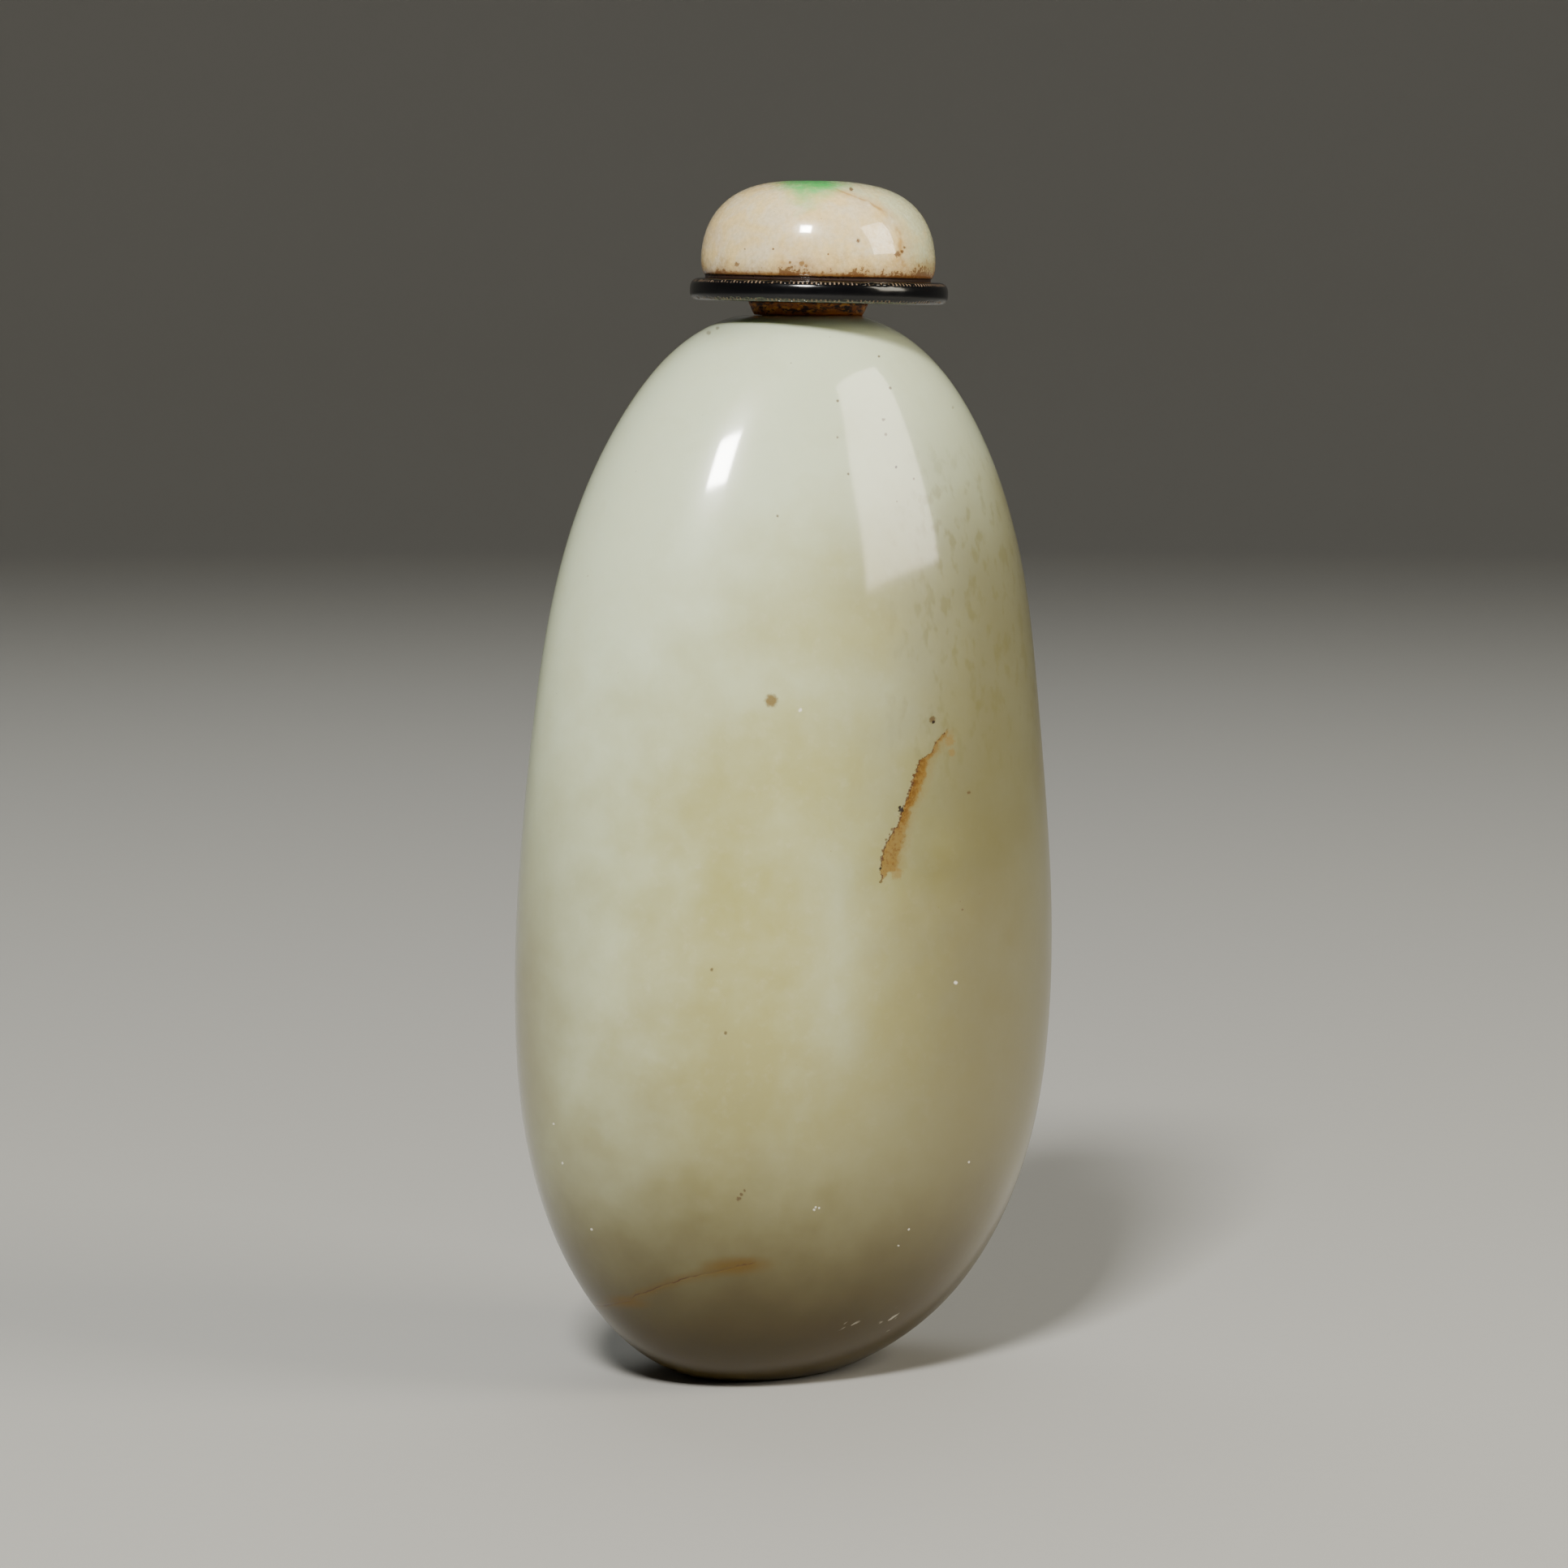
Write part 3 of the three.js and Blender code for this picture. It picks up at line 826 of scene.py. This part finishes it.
class SNUFF_OT_bottle(bpy.types.Operator):
    """Model the jade bottle with its fissure and hairline"""

    bl_idname = "snuff.bottle"
    bl_label = "Bottle"

    def execute(self, context):
        settings = context.scene.snuff_bottle
        low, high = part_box("bottle")
        bottle = copy_of("bottle", "jade_bottle")
        flatten_end(bottle, lambda middle, normal: middle.z < low.z + TOUCH, rim=0.5 * MM)
        choose_edges(
            bottle,
            lambda middle, angle: middle.z > high.z - TOUCH and angle > math.radians(60),
        )
        bpy.ops.mesh.bevel(offset=0.1 * MM, segments=2, affect="EDGES")
        round_off(bottle)
        free = weigh(
            bottle, "free",
            lambda vertex: step(vertex.co.z, 0.5 * MM, 5 * MM)
            * step(vertex.co.z, high.z, high.z - 4 * MM),
        )
        ripple(bottle, size=12 * MM, depth=settings.waviness, group=free)
        depth, width = settings.fissure_depth, settings.fissure_width
        cut_groove(bottle, "fissure", OPEN_FISSURE, depth, width)
        cut_groove(bottle, "hairline", HAIRLINE, depth / 2, width / 2)
        dress(bottle, jade_finish(settings), "bottle")
        return {"FINISHED"}


class SNUFF_OT_cork(bpy.types.Operator):
    """Model the stained cork between the mouth and the collar"""

    bl_idname = "snuff.cork"
    bl_label = "Cork"

    def execute(self, context):
        settings = context.scene.snuff_stopper
        cork = copy_of("cork", "stained_cork")
        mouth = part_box("bottle")[1].z
        flatten_end(cork, lambda middle, normal: normal.z > 0.9, rim=0.1 * MM)
        choose_faces(cork, lambda middle, normal: normal.z > 0.9)
        bpy.ops.transform.translate(value=(0, 0, GLUE))
        choose_faces(cork, lambda middle, normal: normal.z < -0.9 and middle.z > mouth)
        bpy.ops.transform.translate(value=(0, 0, -GLUE))
        bpy.ops.transform.edge_crease(value=0.8)
        round_off(cork)
        ripple(cork, size=0.7 * MM, depth=0.12 * MM)
        dress(cork, cork_finish(settings), "cork")
        return {"FINISHED"}


class SNUFF_OT_collar(bpy.types.Operator):
    """Model the black collar"""

    bl_idname = "snuff.collar"
    bl_label = "Collar"

    def execute(self, context):
        settings = context.scene.snuff_stopper
        collar = copy_of("collar", "black_collar_disc")
        flatten_end(collar, lambda middle, normal: normal.z > 0.99, rim=0.3 * MM)
        flatten_end(collar, lambda middle, normal: normal.z < -0.99, rim=0.3 * MM)
        round_off(collar)
        self.chip_edges(collar)
        dress(collar, collar_finish(settings), "collar")
        return {"FINISHED"}

    def chip_edges(self, collar):
        """Refines the two edges of the collar and breaks them into tiny chips."""
        axis = stopper_axis()
        low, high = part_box("collar")
        centre = (low + high) / 2
        radius = (high.y - low.y) / 2
        under, top = reach_along("collar", axis)
        half = (top - under) / 2
        inset = 0.2 * MM  # from the rim to the middle of the chipped line
        drop = 0.16 * MM  # from a flat side to that line
        depth = 0.035 * MM

        def edge_share(point):
            rise = (point - centre).dot(axis)
            out = (point - centre - axis * rise).length
            away = Vector((out - radius + inset, abs(rise) - half + drop)).length
            return step(away, 0.22 * MM, 0.06 * MM)

        bpy.ops.object.mode_set(mode="EDIT")
        choose_faces(collar, lambda middle, normal: edge_share(middle) > 0)
        bpy.ops.mesh.subdivide(number_cuts=2, smoothness=1)
        bpy.ops.object.mode_set(mode="OBJECT")
        edges = collar.data.attributes.new("edges", "FLOAT", "POINT")
        for vertex, value in zip(collar.data.vertices, edges.data):
            value.value = edge_share(vertex.co)
        chips = weigh(
            collar, "chips",
            lambda vertex: edge_share(vertex.co) * step(noise.noise(vertex.co / (0.28 * MM)), 0.1, 0.5),
        )
        apply_modifier(collar, "DISPLACE", strength=-depth, mid_level=0, vertex_group=chips)


class SNUFF_OT_cap(bpy.types.Operator):
    """Model the domed cap and its line of old glue"""

    bl_idname = "snuff.cap"
    bl_label = "Cap"

    def execute(self, context):
        settings = context.scene.snuff_stopper
        cap = copy_of("cap", "jadeite_cap")
        patch_pole(cap, lambda middle, normal: normal.z > 0.998)
        flatten_end(cap, lambda middle, normal: normal.z < -0.99, rim=0.1 * MM)
        bpy.ops.mesh.extrude_region_move(TRANSFORM_OT_translate={"value": (0, 0, -GLUE)})
        bpy.ops.transform.edge_crease(value=1)
        round_off(cap)
        ripple(cap, size=5 * MM, depth=0.08 * MM)
        dress(cap, cap_finish(settings), "cap")
        return {"FINISHED"}


class SNUFF_OT_stage(bpy.types.Operator):
    """Lay the plain floor and set the camera and the soft lights"""

    bl_idname = "snuff.stage"
    bl_label = "Stage"

    def execute(self, context):
        settings = context.scene.snuff_stage
        bpy.ops.object.select_all(action="DESELECT")
        floor = self.cove()
        floor.data.materials.append(floor_finish(settings))
        self.camera(context)
        self.light(
            context, "key_light", settings.key, (1, 0.98, 0.93), width=0.1, height=0.1, turn=165,
            elevation=45, distance=0.6,
        )
        top = self.light(
            context, "top_light", settings.top, (0.96, 1, 1), width=0.5, height=0.4, turn=10,
            elevation=58, distance=0.6,
        )
        top.visible_glossy = False
        self.light(
            context, "side_light", settings.side, (1, 0.92, 0.76), width=0.23, height=0.3, turn=-110.5,
            elevation=28.5, distance=0.5,
        )
        self.surroundings(context, settings.air)
        return {"FINISHED"}

    def camera(self, context):
        """Looks at the marked face from the front, a little from above."""
        aim = ACROSS * AIM_ACROSS + Vector((0, 0, AIM_HEIGHT))
        out = TOWARDS * math.cos(CAMERA_ELEVATION) + Vector((0, 0, math.sin(CAMERA_ELEVATION)))
        data = bpy.data.cameras.new("camera")
        data.lens = CAMERA_LENS
        data.sensor_width = CAMERA_SENSOR
        data.sensor_fit = "HORIZONTAL"
        data.clip_start = 0.01
        camera = bpy.data.objects.new("camera", data)
        camera.location = aim + out * CAMERA_DISTANCE
        camera.rotation_euler = (-out).to_track_quat("-Z", "Y").to_euler()
        context.scene.collection.objects.link(camera)
        context.scene.camera = camera

    def surroundings(self, context, strength):
        """A faint even light from all round."""
        world = bpy.data.worlds.new("pale_surroundings")
        world.use_nodes = True
        sky = world.node_tree.nodes["Background"]
        sky.inputs["Color"].default_value = (0.96, 0.98, 1, 1)
        sky.inputs["Strength"].default_value = strength
        context.scene.world = world

    def cove(self):
        """A round floor that curves up into a wall all round, so that no edge of it shows."""
        bpy.ops.mesh.primitive_circle_add(vertices=96, radius=COVE_RADIUS, fill_type="NGON")
        floor = bpy.context.object
        floor.name = "floor"
        bpy.ops.object.mode_set(mode="EDIT")
        bpy.ops.mesh.select_mode(type="EDGE")
        bpy.ops.mesh.select_all(action="DESELECT")
        bpy.ops.mesh.select_non_manifold()
        bpy.ops.mesh.extrude_region_move(TRANSFORM_OT_translate={"value": (0, 0, COVE_HEIGHT)})
        choose_edges(floor, lambda middle, angle: middle.z < TOUCH)
        bpy.ops.mesh.bevel(offset=COVE_ROUND, segments=16, affect="EDGES")
        bpy.ops.object.mode_set(mode="OBJECT")
        bpy.ops.object.shade_smooth()
        return floor

    def light(self, context, name, power, colour, width, height, turn, elevation, distance):
        """A soft light on the bottle, turned by degrees from straight behind it towards the left."""
        data = bpy.data.lights.new(name, "AREA")
        data.shape = "RECTANGLE"
        data.size = width
        data.size_y = height
        data.energy = power
        data.color = colour
        angle, up = math.radians(turn), math.radians(elevation)
        level = -TOWARDS * math.cos(angle) - ACROSS * math.sin(angle)
        out = level * math.cos(up) + Vector((0, 0, math.sin(up)))
        lamp = bpy.data.objects.new(name, data)
        lamp.visible_camera = False
        lamp.location = Vector((0, 0, AIM_HEIGHT)) + out * distance
        lamp.rotation_euler = (-out).to_track_quat("-Z", "Y").to_euler()
        context.scene.collection.objects.link(lamp)
        return lamp


class SNUFF_PT_panel(bpy.types.Panel):
    """The pieces of the snuff bottle and their settings"""

    bl_idname = "SNUFF_PT_panel"
    bl_label = "Snuff bottle"
    bl_space_type = "VIEW_3D"
    bl_region_type = "UI"
    bl_category = "Snuff bottle"

    def draw(self, context):
        for operator in PIECES:
            self.layout.operator(operator.bl_idname)
        for group in (context.scene.snuff_bottle, context.scene.snuff_stopper, context.scene.snuff_stage):
            for name in group.bl_rna.properties.keys():
                if name not in ("rna_type", "name"):
                    self.layout.prop(group, name)


PIECES = (SNUFF_OT_stage, SNUFF_OT_bottle, SNUFF_OT_cork, SNUFF_OT_collar, SNUFF_OT_cap)
CLASSES = (BottleSettings, StopperSettings, StageSettings, *PIECES, SNUFF_PT_panel)


def register():
    for one in CLASSES:
        bpy.utils.register_class(one)
    bpy.types.Scene.snuff_bottle = PointerProperty(type=BottleSettings)
    bpy.types.Scene.snuff_stopper = PointerProperty(type=StopperSettings)
    bpy.types.Scene.snuff_stage = PointerProperty(type=StageSettings)


def unregister():
    del bpy.types.Scene.snuff_stage
    del bpy.types.Scene.snuff_stopper
    del bpy.types.Scene.snuff_bottle
    for one in reversed(CLASSES):
        bpy.utils.unregister_class(one)


def main():
    register()
    bpy.ops.snuff.stage()
    bpy.ops.snuff.bottle()
    bpy.ops.snuff.cork()
    bpy.ops.snuff.collar()
    bpy.ops.snuff.cap()


if __name__ == "__main__":
    main()
